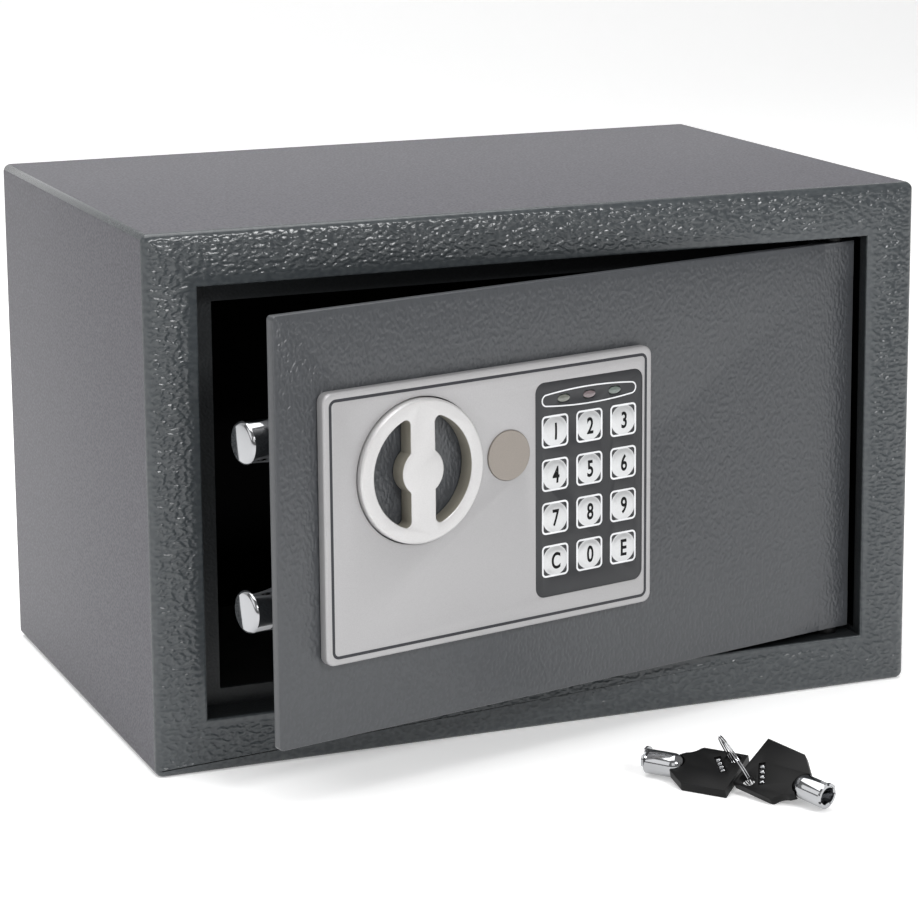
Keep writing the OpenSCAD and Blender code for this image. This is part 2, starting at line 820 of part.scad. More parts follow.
module knob_crank() {
    arm_w = 6;
    color("silver") on_door() {
        slab(crank_front, crank_front + crank_t) translate([knob_cx, knob_cz]) difference() {
            union() {
                circle(7);
                translate([-crank_rise, crank_rise]) circle(4.5);
                rotate(135) translate([0, -arm_w / 2]) square([crank_r, arm_w]);
            }
            circle(shaft_d / 2 + running_fit);
        }
        rod_y(knob_cx - crank_rise, knob_cz + crank_rise, crank_pin_d / 2,
            crank_front + crank_t, carriage_y + carriage_t + 0.5);
    }
}

// ---- bolts ----

module bolt_plate() {
    web_bot = bolt_zs[1] - bolt_r;
    web_top = max(bolt_zs[0] + bolt_r, knob_cz + crank_r + 9);
    color("silver") on_door() {
        slab(carriage_y, carriage_y + carriage_t) difference() {
            union() {
                translate([web_l, web_bot]) square([web_w, web_top - web_bot]);
                translate([web_l, arm_top - arm_h])
                    square([plunger_x + 8 - web_l, arm_h]);
            }
            // upright slot for the crank's pin
            translate([knob_cx - crank_rise - slot_w / 2, knob_cz + crank_rise])
                square([slot_w, crank_r - crank_rise]);
            for (z = [knob_cz + crank_rise, knob_cz + crank_r])
                translate([knob_cx - crank_rise, z]) circle(slot_w / 2);
            // notch for the blocking plunger
            translate([plunger_x - plunger_d / 2 - notch_play, arm_top - plunger_stroke])
                square([plunger_d + 2 * notch_play, plunger_stroke + 1]);
        }
        // bent tabs that carry the bolts
        for (z = bolt_zs) difference() {
            translate([bolt_end, carriage_y, z - bolt_r])
                cube([tab_t, bolt_y + bolt_r - carriage_y, 2 * bolt_r]);
            translate([bolt_end - 1, bolt_y, z]) rotate([0, 90, 0]) cylinder(d = screw_d + 0.4, h = tab_t + 2);
        }
    }
}

module bolt(z) {
    color("silver") on_door() translate([bolt_tip, bolt_y, z]) rotate([0, 90, 0]) difference() {
        rotate_extrude() polygon([
            [0, 0], [bolt_r - bolt_chamfer, 0], [bolt_r, bolt_chamfer],
            [bolt_r, bolt_len], [0, bolt_len]
        ]);
        translate([0, 0, bolt_len - 12]) cylinder(r = screw_d / 2 + running_fit, h = 13);
    }
}
module bolt_upper() { bolt(bolt_zs[0]); }
module bolt_lower() { bolt(bolt_zs[1]); }

module bolt_screws() {
    color("gray") on_door() for (z = bolt_zs)
        translate([bolt_end - 10, bolt_y, z]) rotate([0, 90, 0]) {
            cylinder(d = screw_d, h = 10 + tab_t + 0.1);
            translate([0, 0, 10 + tab_t]) cylinder(d = 7, h = 3, $fn = 6);
        }
}

module blocking_plunger() {
    color("silver") on_door() {
        translate([plunger_x, carriage_mid, 0]) {
            translate([0, 0, plunger_tip])
                cylinder(d = plunger_d, h = plunger_head_z + plunger_head_t - plunger_tip);
            translate([0, 0, collar_z]) cylinder(d = plunger_d + 2, h = collar_t);
            translate([0, 0, plunger_head_z]) cylinder(d = plunger_d + 2, h = plunger_head_t);
        }
        // side pin that the emergency lock's cam lifts
        rod_y(plunger_x, lift_pin_z, lift_pin_d / 2, carriage_mid, cam_front + cam_t + 0.6);
    }
}

// ---- emergency lock ----

module lock_cap() {
    edge = 0.5;
    color("tan") on_door() translate([lock_cx, cap_back, lock_cz]) rotate([90, 0, 0])
        rotate_extrude() {
            square([cap_d / 2 - edge, cap_t]);
            square([cap_d / 2, cap_t - edge]);
            translate([cap_d / 2 - edge, cap_t - edge]) circle(edge);
        }
}

module lock_plug() {
    front = barrel_front + 0.3;
    color("silver") on_door() difference() {
        union() {
            rod_y(lock_cx, lock_cz, plug_d / 2, front, cam_front);
            rod_y(lock_cx, lock_cz, 3, front, cam_front + cam_t + 1);
        }
        // ring-shaped keyway round a centre post
        difference() {
            rod_y(lock_cx, lock_cz, key_tube_d / 2 - 0.2, front - 1, front + 7);
            rod_y(lock_cx, lock_cz, 3.3, front - 2, front + 8);
        }
    }
}

module lock_cam() {
    color("silver") on_door() translate([lock_cx, cam_front, lock_cz]) difference() {
        union() {
            rod_y(0, 0, 5.5, 0, cam_t);
            rotate([0, -cam_angle, 0]) {
                translate([0, 0, -cam_w / 2]) cube([cam_len - cam_w / 2, cam_t, cam_w]);
                rod_y(cam_len - cam_w / 2, 0, cam_w / 2, 0, cam_t);
            }
        }
        rod_y(0, 0, 3 + running_fit, -1, cam_t + 1);
    }
}

module reset_button() {
    color("red") on_door() {
        rod_y(reset_x, reset_z, reset_d / 2, cover_in - 5.4, cover_back + reset_out);
        rod_y(reset_x, reset_z, reset_d / 2 + 1.2, cover_in - 1.8, cover_in - 0.4);
    }
}

module battery_cover() {
    w = case_w - 2 * case_wall - 2 * lid_play;
    h = case_h - 2 * case_wall - 2 * lid_play;
    color("black") on_door() difference() {
        slab(cover_in - 1, cover_back) translate([case_x + case_w / 2, case_z + case_h / 2])
            round_rect(w, h, 1.5);
        // thumb recess
        slab(cover_back - 1, cover_back + 1)
            translate([case_x + case_w / 2, case_z + case_h - 9]) oval(18, 6);
    }
}

// ---- spare keys ----

// along X from the head's middle towards the tube
module place_key(i) {
    p = key_places[i];
    translate([p[0], p[1], p[2]]) rotate([p[5], -p[4], p[3]]) children();
}

module spare_tube(i) {
    r = key_tube_d / 2;
    l = key_neck + key_tube_len - key_ball_x;
    color("silver") place_key(i) translate([key_ball_x, 0, 0]) rotate([0, 90, 0]) {
        difference() {
            rotate_extrude() {
                square([r, l]);
                // round shoulder next to the head
                intersection() {
                    circle(r);
                    translate([0, -r]) square([r, r + 1]);
                }
            }
            translate([0, 0, 2]) cylinder(d = key_bore_d, h = l);
        }
        translate([0, 0, -r - key_pin_len]) cylinder(d = key_pin_d, h = key_pin_len + 1);
    }
}

module spare_head(i) {
    w = key_head_w / 2;
    n = key_neck_w / 2;
    side = key_neck - key_flare;
    slot_at = [key_back + ring_slot_wall + ring_slot_l / 2, -w + ring_slot_wall + ring_slot_w / 2];
    color("black") place_key(i) difference() {
        translate([0, 0, -key_head_t / 2]) linear_extrude(key_head_t) difference() {
            polygon([
                [key_back, -w], [side, -w], [key_neck, -n], [key_neck, n], [side, w], [key_back, w]
            ]);
            // hollow beside the tube
            translate([key_neck - 0.5, -w - 1.5]) circle(6);
            translate([key_ball_x, 0]) circle(key_tube_d / 2 + 0.1);
            translate(slot_at) oval(ring_slot_l, ring_slot_w);
        }
        translate([key_window_at[0], key_window_at[1], key_head_t / 2 - key_window[2]])
            rotate([0, 0, key_window_turn])
                translate([-key_window[0] / 2, -key_window[1] / 2, 0]) cube([key_window[0], key_window[1], 2]);
        translate([key_ball_x - key_tube_d / 2 - key_pin_len - 0.5, 0, 0]) rotate([0, 90, 0])
            cylinder(r = key_pin_d / 2 + running_fit, h = key_pin_len + 1);
    }
}

module spare_key_ring() {
    color("silver") translate(ring_place) rotate([0, ring_tilt, ring_heading])
        rotate_extrude() translate([ring_d / 2, 0]) circle(d = ring_t, $fn = 24);
}

outer_shell();
back_panel();
hinge_lugs();
hinge_pins();
hinge_washers();
floor_mat();
door_plate();
hinge_blocks();
door_cover();
cover_posts();
cover_screws();
side_plug();
bolt_bushes();
control_panel();
panel_inlay();
keypad_plate();
lamp_left();
lamp_middle();
lamp_right();
keypad_board();
lock_barrel();
lock_nut();
solenoid_frame();
solenoid_coil();
plunger_spring();
battery_case();
battery_cells();
battery_contacts();
knob_bush();
reset_switch();
knob();
knob_shaft();
knob_crank();
bolt_plate();
bolt_upper();
bolt_lower();
bolt_screws();
blocking_plunger();
for (i = [0:11]) keypad_key(i);
lock_cap();
lock_plug();
lock_cam();
reset_button();
battery_cover();
spare_tube(0);  // spare_key_tube_a
spare_head(0);  // spare_key_head_a
spare_tube(1);  // spare_key_tube_b
spare_head(1);  // spare_key_head_b
spare_key_ring();
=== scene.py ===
import json
import math

import bmesh
import bpy
import numpy as np
from mathutils import Euler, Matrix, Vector


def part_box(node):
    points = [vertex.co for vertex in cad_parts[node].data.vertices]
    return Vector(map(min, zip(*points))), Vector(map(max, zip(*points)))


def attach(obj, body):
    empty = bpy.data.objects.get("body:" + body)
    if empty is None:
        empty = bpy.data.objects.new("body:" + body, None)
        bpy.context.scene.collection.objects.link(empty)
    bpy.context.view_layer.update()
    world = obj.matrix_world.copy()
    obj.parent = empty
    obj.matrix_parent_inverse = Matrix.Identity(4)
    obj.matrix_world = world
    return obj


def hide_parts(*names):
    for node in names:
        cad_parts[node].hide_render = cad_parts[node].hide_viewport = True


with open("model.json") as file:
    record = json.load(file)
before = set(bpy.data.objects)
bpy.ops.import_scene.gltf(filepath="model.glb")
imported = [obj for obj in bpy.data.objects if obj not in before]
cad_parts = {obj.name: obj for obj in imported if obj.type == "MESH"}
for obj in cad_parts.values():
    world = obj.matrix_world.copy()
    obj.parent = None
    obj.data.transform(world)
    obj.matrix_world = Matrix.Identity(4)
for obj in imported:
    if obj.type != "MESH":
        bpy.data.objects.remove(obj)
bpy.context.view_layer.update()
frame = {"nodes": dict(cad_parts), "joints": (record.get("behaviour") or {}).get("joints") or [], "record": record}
print("frame loaded")

slotOf = {part["node"]: part["material_slot"] for part in frame["record"]["subparts"]}
bodyOf = {node: body for body, nodes in frame["record"]["behaviour"]["bodies"].items() for node in nodes}

# what stands on the door is worked out with the door shut, then turned open
doorJoint = next(joint for joint in frame["joints"] if joint["name"] == "door_swing")
hinge = np.array(doorJoint["pos_m"][:2])
openAngle = -math.radians(doorJoint["range_deg"][0])


def turned(points, angle):
    # turns points about the hinge line by an angle
    points = np.array(points, float).reshape(-1, 3)
    across, along = (points[:, :2] - hinge).T
    cos, sin = math.cos(angle), math.sin(angle)
    return np.c_[hinge[0] + across * cos - along * sin, hinge[1] + across * sin + along * cos, points[:, 2]]


def onDoor(points):
    return turned(points, openAngle)


def pointsOf(node):
    mesh = frame["nodes"][node].data
    points = np.empty(len(mesh.vertices) * 3)
    mesh.vertices.foreach_get("co", points)
    return points.reshape(-1, 3)


def shutBox(node):
    # lowest and highest corner of a node on the door, with the door shut
    points = turned(pointsOf(node), -openAngle)
    return points.min(0), points.max(0)


def linear(code):
    # sRGB hex to linear light
    parts = np.array([int(code[i:i + 2], 16) / 255 for i in (1, 3, 5)])
    low = parts / 12.92
    high = ((parts + 0.055) / 1.055) ** 2.4
    return (*np.where(parts <= 0.04045, low, high), 1.0)


def addNode(tree, kind, settings=None, links=None):
    # adds a node, gives its settings and fixed inputs, and links its other inputs
    node = tree.nodes.new(kind)
    for name, value in (settings or {}).items():
        if hasattr(node, name):
            setattr(node, name, value)
        else:
            node.inputs[name].default_value = value
    for name, socket in (links or {}).items():
        tree.links.new(socket, node.inputs[name])
    return node


def newFinish(name, colour, roughness, metallic=0.0, **more):
    # a material with its shader's own sockets set
    material = bpy.data.materials.new(name)
    material.use_nodes = True
    shader = material.node_tree.nodes["Principled BSDF"]
    shader.inputs["Base Color"].default_value = linear(colour)
    shader.inputs["Roughness"].default_value = roughness
    shader.inputs["Metallic"].default_value = metallic
    for socket, value in more.items():
        shader.inputs[socket.replace("_", " ")].default_value = value
    return material, material.node_tree, shader


def grain(tree, size, detail=2.0, distortion=0.0, roughness=0.5):
    # noise whose features are about size mm across
    place = addNode(tree, "ShaderNodeTexCoord").outputs["Object"]
    settings = {"Scale": 1000 / size, "Detail": detail, "Distortion": distortion, "Roughness": roughness}
    return addNode(tree, "ShaderNodeTexNoise", settings, {"Vector": place}).outputs["Fac"]


def cells(tree, size, smooth=0.6):
    # round cells about size mm across
    place = addNode(tree, "ShaderNodeTexCoord").outputs["Object"]
    settings = {"feature": "SMOOTH_F1", "Scale": 1000 / size, "Smoothness": smooth}
    return addNode(tree, "ShaderNodeTexVoronoi", settings, {"Vector": place}).outputs["Distance"]


def ramp(tree, fac, low, high, colours=None):
    # stretches a pattern between two of its values, or between two colours
    node = addNode(tree, "ShaderNodeValToRGB", None, {"Fac": fac})
    ends = node.color_ramp.elements
    ends[0].position, ends[1].position = low, high
    if colours:
        ends[0].color, ends[1].color = linear(colours[0]), linear(colours[1])
    return node.outputs["Color"]


def relief(tree, shader, height, depth, strength=1.0, before=None):
    # bump of depth mm
    links = {"Height": height}
    if before:
        links["Normal"] = before
    node = addNode(tree, "ShaderNodeBump", {"Distance": depth / 1000, "Strength": strength}, links)
    tree.links.new(node.outputs["Normal"], shader.inputs["Normal"])
    return node.outputs["Normal"]


def sums(tree, operation, first, second):
    # one arithmetic step; either side may be a socket or a number
    node = addNode(tree, "ShaderNodeMath", {"operation": operation})
    for place, value in ((0, first), (1, second)):
        if isinstance(value, (int, float)):
            node.inputs[place].default_value = value
        else:
            tree.links.new(value, node.inputs[place])
    return node.outputs["Value"]


def fade(tree, value, low, high):
    # eases from 0 to 1 as a value goes from low to high
    span = {"interpolation_type": "SMOOTHSTEP", "From Min": low, "From Max": high}
    return addNode(tree, "ShaderNodeMapRange", span, {"Value": value}).outputs["Result"]


def along(tree, direction, offset=0.0):
    # how far a point lies along a direction, in metres
    place = addNode(tree, "ShaderNodeTexCoord").outputs["Object"]
    node = addNode(tree, "ShaderNodeVectorMath", {"operation": "DOT_PRODUCT"}, {0: place})
    node.inputs[1].default_value = direction
    return sums(tree, "SUBTRACT", node.outputs["Value"], offset)


def streaks(tree, size, stretch, detail, distortion):
    # noise drawn out by stretch (x, y, z) along each axis
    place = addNode(tree, "ShaderNodeTexCoord").outputs["Object"]
    scaled = addNode(tree, "ShaderNodeMapping", {"Scale": [1 / s for s in stretch]}, {"Vector": place})
    settings = {"Scale": 1000 / size, "Detail": detail, "Distortion": distortion}
    return addNode(tree, "ShaderNodeTexNoise", settings, {"Vector": scaled.outputs["Vector"]}).outputs["Fac"]


# powder coat: sizes in mm, from the leathery front to the almost smooth sides; each valley colour is painted shade in
# the relief's low parts
paintLook = {
    "rim": {"face": "#434749", "valleyShade": "#383c3f", "size": 1.75, "stretch": (1.25, 1.0, 0.85), "depth": 0.33,
            "gloss": 0.22, "fine": 0.02},
    "door": {"face": "#424447", "valleyShade": "#3e4043", "size": 1.5, "stretch": (0.8, 0.8, 1.2), "depth": 0.13,
             "gloss": 0.32, "fine": 0.02},
    # side: the same coat in lighter, more purple colours than the front: painted light on the top and side faces
    "side": {"face": "#57565c", "valleyShade": "#403f45", "size": 0.9, "stretch": (1.0, 1.0, 1.0), "depth": 0.05,
             "gloss": 0.55, "fine": 0.05},
    # flange: the same coat in far darker colours, painted shade on the return inside the door opening
    "flange": {"face": "#1b1e20", "valleyShade": "#15181a", "size": 1.1, "stretch": (1.0, 1.0, 1.0), "depth": 0.05,
               "gloss": 0.5, "fine": 0.03},
}


def powderCoat(name, kind, strength=None):
    # grey powder coat, baked over steel: smooth islands that glint at their rims, in a matt film; the colour darkens
    # into the valleys between them as painted shade
    look = paintLook[kind]
    material, tree, shader = newFinish(name, look["face"], look["gloss"], Specular_IOR_Level=0.5)
    islands = fade(tree, streaks(tree, look["size"], look["stretch"], 0.4, 0.15), 0.3, 0.72)
    # dark specks, multiplied in at a quarter: painted shade of pinholes in the coat
    poreShade = ramp(tree, grain(tree, 2.4, 3.0), 0.24, 0.3)
    # the islands' low parts take the darker valley colour: painted shade
    tone = ramp(tree, islands, 0.0, 1.0, (look["valleyShade"], look["face"]))
    shaded = addNode(tree, "ShaderNodeMix", {"data_type": "RGBA", "blend_type": "MULTIPLY"})
    shaded.inputs["Factor"].default_value = 0.25
    tree.links.new(tone, shaded.inputs["A"])
    tree.links.new(poreShade, shaded.inputs["B"])
    tree.links.new(shaded.outputs["Result"], shader.inputs["Base Color"])
    if strength:
        islands = sums(tree, "MULTIPLY", islands, strength(tree))
    first = relief(tree, shader, grain(tree, 0.8, 2.0), look["fine"], 0.5)
    relief(tree, shader, islands, look["depth"], 1.0, first)
    return material


def rimStrength(tree):
    # the wrinkle dies away towards the outer bends and the edge of the opening
    low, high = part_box("outer_shell")
    doorLow, doorHigh = shutBox("door_plate")
    gap = 0.0025
    width, middle, height = high[0], (low[2] + high[2]) / 2, (high[2] - low[2]) / 2
    x = sums(tree, "ABSOLUTE", along(tree, (1, 0, 0)), 0)
    z = sums(tree, "ABSOLUTE", along(tree, (0, 0, 1), middle), 0)
    openX, openZ = doorHigh[0] + gap, (doorHigh[2] - doorLow[2]) / 2 + gap
    inner = sums(tree, "MAXIMUM", sums(tree, "SUBTRACT", x, float(openX)), sums(tree, "SUBTRACT", z, float(openZ)))
    outer = sums(tree, "MINIMUM", sums(tree, "SUBTRACT", float(width), x), sums(tree, "SUBTRACT", float(height), z))
    return sums(tree, "MULTIPLY", fade(tree, inner, 0.0012, 0.005), fade(tree, outer, 0.0008, 0.0035))


def doorStrength(tree):
    # the door's wrinkle dies away at its four edges
    low, high = shutBox("door_plate")
    cos, sin = math.cos(openAngle), math.sin(openAngle)
    start = hinge[0] * cos + hinge[1] * sin - hinge[0]
    x = along(tree, (cos, sin, 0), start)
    z = along(tree, (0, 0, 1))
    sideways = sums(tree, "MINIMUM", sums(tree, "SUBTRACT", x, float(low[0])), sums(tree, "SUBTRACT", float(high[0]), x))
    upright = sums(tree, "MINIMUM", sums(tree, "SUBTRACT", z, float(low[2])), sums(tree, "SUBTRACT", float(high[2]), z))
    return fade(tree, sums(tree, "MINIMUM", sideways, upright), 0.0006, 0.003)


def texturedPaint():
    # powder coat with a fine sandy texture
    material, tree, shader = newFinish("sandTexturedPowderCoat", "#4b4d50", 0.5)
    pattern = grain(tree, 0.8, 3.0)
    tree.links.new(ramp(tree, pattern, 0.3, 0.7, ("#444649", "#515356")), shader.inputs["Base Color"])
    relief(tree, shader, pattern, 0.12, 0.7)
    return material


def insideShadeFinish():
    # near-black on the inner faces, painted shade of the dark inside: flat and almost without gloss
    material, tree, shader = newFinish("flatBlackPaintedShade", "#050506", 0.9, Specular_IOR_Level=0.15)
    pattern = grain(tree, 2.0, 3.0)
    tree.links.new(ramp(tree, pattern, 0.3, 0.7, ("#030304", "#070708")), shader.inputs["Base Color"])
    relief(tree, shader, pattern, 0.1, 0.4)
    return material


def zincPlate():
    # zinc plate over stamped steel: grey metal with a faint spangle
    material, tree, shader = newFinish("zincPlatedSteel", "#b4b4ae", 0.36, 1.0)
    pattern = cells(tree, 3.0)
    tree.links.new(ramp(tree, pattern, 0.1, 0.7, ("#a8a8a3", "#c0bfb8")), shader.inputs["Base Color"])
    tree.links.new(ramp(tree, grain(tree, 1.2), 0.2, 0.9, ("#8c8c8c", "#b0b0b0")), shader.inputs["Roughness"])
    relief(tree, shader, grain(tree, 0.5), 0.01, 0.4)
    return material


def chromePlate():
    # polished chrome plate: mirror metal, with slight polishing waves
    material, tree, shader = newFinish("polishedChromePlate", "#a6a7a9", 0.09, 1.0)
    tree.links.new(ramp(tree, grain(tree, 6.0), 0.3, 0.8, ("#424242", "#585858")), shader.inputs["Roughness"])
    relief(tree, shader, grain(tree, 4.0, 1.0), 0.02, 0.25)
    return material


def blackOxide():
    # blackened steel screws: dark, slightly oily metal
    material, tree, shader = newFinish("blackOxideSteel", "#1d1d1f", 0.42, 0.8)
    tree.links.new(ramp(tree, grain(tree, 0.8), 0.3, 0.7, ("#161617", "#262628")), shader.inputs["Base Color"])
    relief(tree, shader, grain(tree, 0.4), 0.01, 0.4)
    return material


def mouldedPlastic(name, colour, second, roughness, size=0.35, depth=0.02, **more):
    # injection moulded plastic: even colour with the mould's fine spark texture
    material, tree, shader = newFinish(name, colour, roughness, **more)
    pattern = grain(tree, size, 2.0)
    tree.links.new(ramp(tree, grain(tree, 9.0), 0.3, 0.7, (second, colour)), shader.inputs["Base Color"])
    relief(tree, shader, pattern, depth, 0.5)
    return material


def silverPaint(name, colour, second, roughness, metallic):
    # satin silver lacquer on ABS: fine metal flakes under a matt clear film
    material, tree, shader = newFinish(name, colour, roughness, metallic)
    flakes = grain(tree, 0.4, 2.0)
    tree.links.new(ramp(tree, flakes, 0.25, 0.75, (second, colour)), shader.inputs["Base Color"])
    relief(tree, shader, flakes, 0.012, 0.35)
    return material


def lampLens(name, colour, second):
    # clear coloured lens, unlit: glossy, its tone varying faintly at random
    material, tree, shader = newFinish(name, colour, 0.12, Coat_Weight=0.6, Coat_Roughness=0.05)
    tree.links.new(ramp(tree, grain(tree, 1.5), 0.3, 0.7, (second, colour)), shader.inputs["Base Color"])
    return material


def circuitBoard():
    # green solder mask over copper tracks
    material, tree, shader = newFinish("solderMask", "#0f4a28", 0.35)
    place = addNode(tree, "ShaderNodeTexCoord").outputs["Object"]
    tracks = addNode(tree, "ShaderNodeTexBrick", {"Scale": 120.0, "Mortar Size": 0.012}, {"Vector": place})
    tree.links.new(ramp(tree, tracks.outputs["Fac"], 0.2, 0.8, ("#0f4a28", "#2c7a44")), shader.inputs["Base Color"])
    relief(tree, shader, tracks.outputs["Fac"], 0.03, 0.6)
    return material


def copperWinding():
    # enamelled copper wire, turn beside turn at 0.6 mm
    material, tree, shader = newFinish("enamelledCopperWire", "#8e3a1c", 0.3, 0.7)
    place = addNode(tree, "ShaderNodeTexCoord").outputs["Object"]
    settings = {"wave_type": "BANDS", "bands_direction": "Z", "Scale": 1000 / 0.6 / 20, "Distortion": 0.0}
    turns = addNode(tree, "ShaderNodeTexWave", settings, {"Vector": place})
    # darker between the turns and lighter on their crowns: painted shade and painted highlight
    tree.links.new(ramp(tree, turns.outputs["Fac"], 0.0, 1.0, ("#6e2a12", "#a84a24")), shader.inputs["Base Color"])
    relief(tree, shader, turns.outputs["Fac"], 0.25, 1.0)
    return material


def batterySleeve():
    # shrunk plastic sleeve: dark with a copper coloured third at the top
    material, tree, shader = newFinish("shrunkPlasticSleeve", "#2c2d30", 0.28, 0.2)
    place = addNode(tree, "ShaderNodeTexCoord").outputs["Object"]
    height = addNode(tree, "ShaderNodeSeparateXYZ", None, {"Vector": place}).outputs["Z"]
    low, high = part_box("battery_cells")
    span = {"From Min": low[2], "From Max": high[2]}
    share = addNode(tree, "ShaderNodeMapRange", span, {"Value": height}).outputs["Result"]
    tree.links.new(ramp(tree, share, 0.66, 0.68, ("#2c2d30", "#a4683a")), shader.inputs["Base Color"])
    relief(tree, shader, grain(tree, 3.0), 0.02, 0.3)
    return material


def needleFelt():
    # needle felt: matt black fibres with a pale sheen at a low angle
    material, tree, shader = newFinish("needleFelt", "#0c0c0e", 0.95, Sheen_Weight=0.05, Sheen_Roughness=0.5)
    fibres = grain(tree, 0.9, 6.0, 2.0, 0.7)
    tree.links.new(ramp(tree, fibres, 0.3, 0.7, ("#060607", "#131315")), shader.inputs["Base Color"])
    relief(tree, shader, fibres, 0.5, 0.9)
    return material


finish = {
    # the top and side faces: the coat lightened as painted light
    "body_paint": powderCoat("greyPowderCoatSideLightened", "side"),
    "cover_paint": texturedPaint(),
    "zinc_steel": zincPlate(),
    "chrome": chromePlate(),
    "black_oxide": blackOxide(),
    "black_plastic": mouldedPlastic("mouldedBlackAbs", "#070708", "#050505", 0.5, Specular_IOR_Level=0.2),
    "white_nylon": mouldedPlastic("mouldedNylon", "#d8d5cc", "#cdcac0", 0.45),
    "panel_silver": silverPaint("satinSilverLacquer", "#a9a8a9", "#a2a1a2", 0.42, 0.4),
    "knob_silver": silverPaint("satinSilverLacquerKnob", "#c6c5c5", "#bebdbd", 0.36, 0.4),
    "inlay_black": mouldedPlastic("blueBlackInlay", "#14161f", "#0f1119", 0.3),
    "keypad_film": mouldedPlastic("printedPolyesterFilm", "#242528", "#212225", 0.45, 0.25, 0.008),
    "key_silver": silverPaint("satinSilverKey", "#cbcccd", "#c3c4c5", 0.3, 0.5),
    "lamp_yellow": lampLens("yellowGreenLens", "#6f716a", "#63655e"),
    "lamp_red": lampLens("pinkLens", "#74696b", "#685d5f"),
    "lamp_green": lampLens("greenLens", "#68716c", "#5c6560"),
    "circuit_board": circuitBoard(),
    "copper_winding": copperWinding(),
    "battery_label": batterySleeve(),
    "cap_beige": silverPaint("warmSilverLacquer", "#8d867e", "#87807a", 0.5, 0.1),
    "reset_red": mouldedPlastic("mouldedRedAbs", "#a80f12", "#960c0f", 0.25),
    "felt": needleFelt(),
}
insideShadeMaterial = insideShadeFinish()
rimPaint = powderCoat("greyPowderCoatFront", "rim", rimStrength)
# the opening's return: the coat darkened as painted shade
flangeShadePaint = powderCoat("greyPowderCoatFlangeShade", "flange")
doorPaint = powderCoat("greyPowderCoatDoor", "door", doorStrength)
bareAbs = mouldedPlastic("unpaintedWarmAbs", "#8b877c", "#827e74", 0.45)
whitePrint = mouldedPlastic("whiteSilkPrint", "#e3e4e6", "#d6d7d9", 0.4, 0.25, 0.004)
blackPrint = mouldedPlastic("blackSilkPrint", "#060607", "#040405", 0.5, 0.25, 0.004, Specular_IOR_Level=0.15)
print("finishes made")


def smoothByAngle(mesh, degrees=30):
    # smooth shading, with hard edges kept where faces turn sharply
    mesh.shade_smooth()
    mesh.set_sharp_from_angle(angle=math.radians(degrees))


def settle(name, mesh, material, body, slot, *nodes):
    # puts a finished mesh in the scene, riding on its body and standing for its nodes
    piece = bpy.data.objects.new(name, mesh)
    bpy.context.scene.collection.objects.link(piece)
    if material:
        mesh.materials.clear()
        mesh.materials.append(material)
    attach(piece, body)
    if nodes:
        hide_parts(*nodes)
    return piece


def gridMesh(name, points, closedRows=False, closedColumns=True):
    # surface through an array of rows x columns x 3 points, as four-cornered faces
    rows, columns = points.shape[:2]
    row = np.arange(rows if closedRows else rows - 1)
    column = np.arange(columns if closedColumns else columns - 1)
    i, j = np.meshgrid(row, column, indexing="ij")
    nextI, nextJ = (i + 1) % rows, (j + 1) % columns
    faces = np.stack([i * columns + j, i * columns + nextJ, nextI * columns + nextJ, nextI * columns + j], -1)
    mesh = bpy.data.meshes.new(name)
    mesh.from_pydata(points.reshape(-1, 3).tolist(), [], faces.reshape(-1, 4).tolist())
    return mesh


def tidyMesh(mesh, limit=1e-6):
    # merges doubled points and turns every face outwards
    work = bmesh.new()
    work.from_mesh(mesh)
    bmesh.ops.remove_doubles(work, verts=work.verts, dist=limit)
    bmesh.ops.recalc_face_normals(work, faces=work.faces)
    work.to_mesh(mesh)
    work.free()
    return mesh


def softened(node, edge, steps=2, choose=None, limit=40, paint=None):
    # the node's own shape with its sharp edges rounded to a radius of edge mm
    # choose(middle of an edge) gives another radius for some edges, or None
    mesh = frame["nodes"][node].data.copy()
    mesh.name = node + "_soft"
    work = bmesh.new()
    work.from_mesh(mesh)
    bmesh.ops.remove_doubles(work, verts=work.verts, dist=2e-6)
    bmesh.ops.dissolve_limit(work, angle_limit=math.radians(0.4), verts=work.verts, edges=work.edges)
    groups = {}
    for line in work.edges:
        if len(line.link_faces) == 2 and line.calc_face_angle(0.0) > math.radians(limit):
            middle = (line.verts[0].co + line.verts[1].co) / 2
            radius = choose(middle) if choose else None
            groups.setdefault(edge if radius is None else radius, []).append(line)
    for radius, lines in sorted(groups.items(), reverse=True):
        lines = [line for line in lines if line.is_valid]
        if radius > 0 and lines:
            bmesh.ops.bevel(work, geom=lines, offset=radius / 1000, offset_type="OFFSET", segments=steps,
                            profile=0.5, affect="EDGES", clamp_overlap=True, loop_slide=True)
    work.to_mesh(mesh)
    work.free()
    smoothByAngle(mesh)
    return settle(node + "_soft", mesh, paint or finish[slotOf[node]], bodyOf[node], slotOf[node], node)


# cabinet: the sheet's bends are rounder outside than at the door opening
# the last value is the depth behind the front from which the inside is painted near-black as shade
shellLook = {"frontBend": 2.4, "openingBend": 1.1, "edge": 0.25, "shadeFrom": 0.0245}


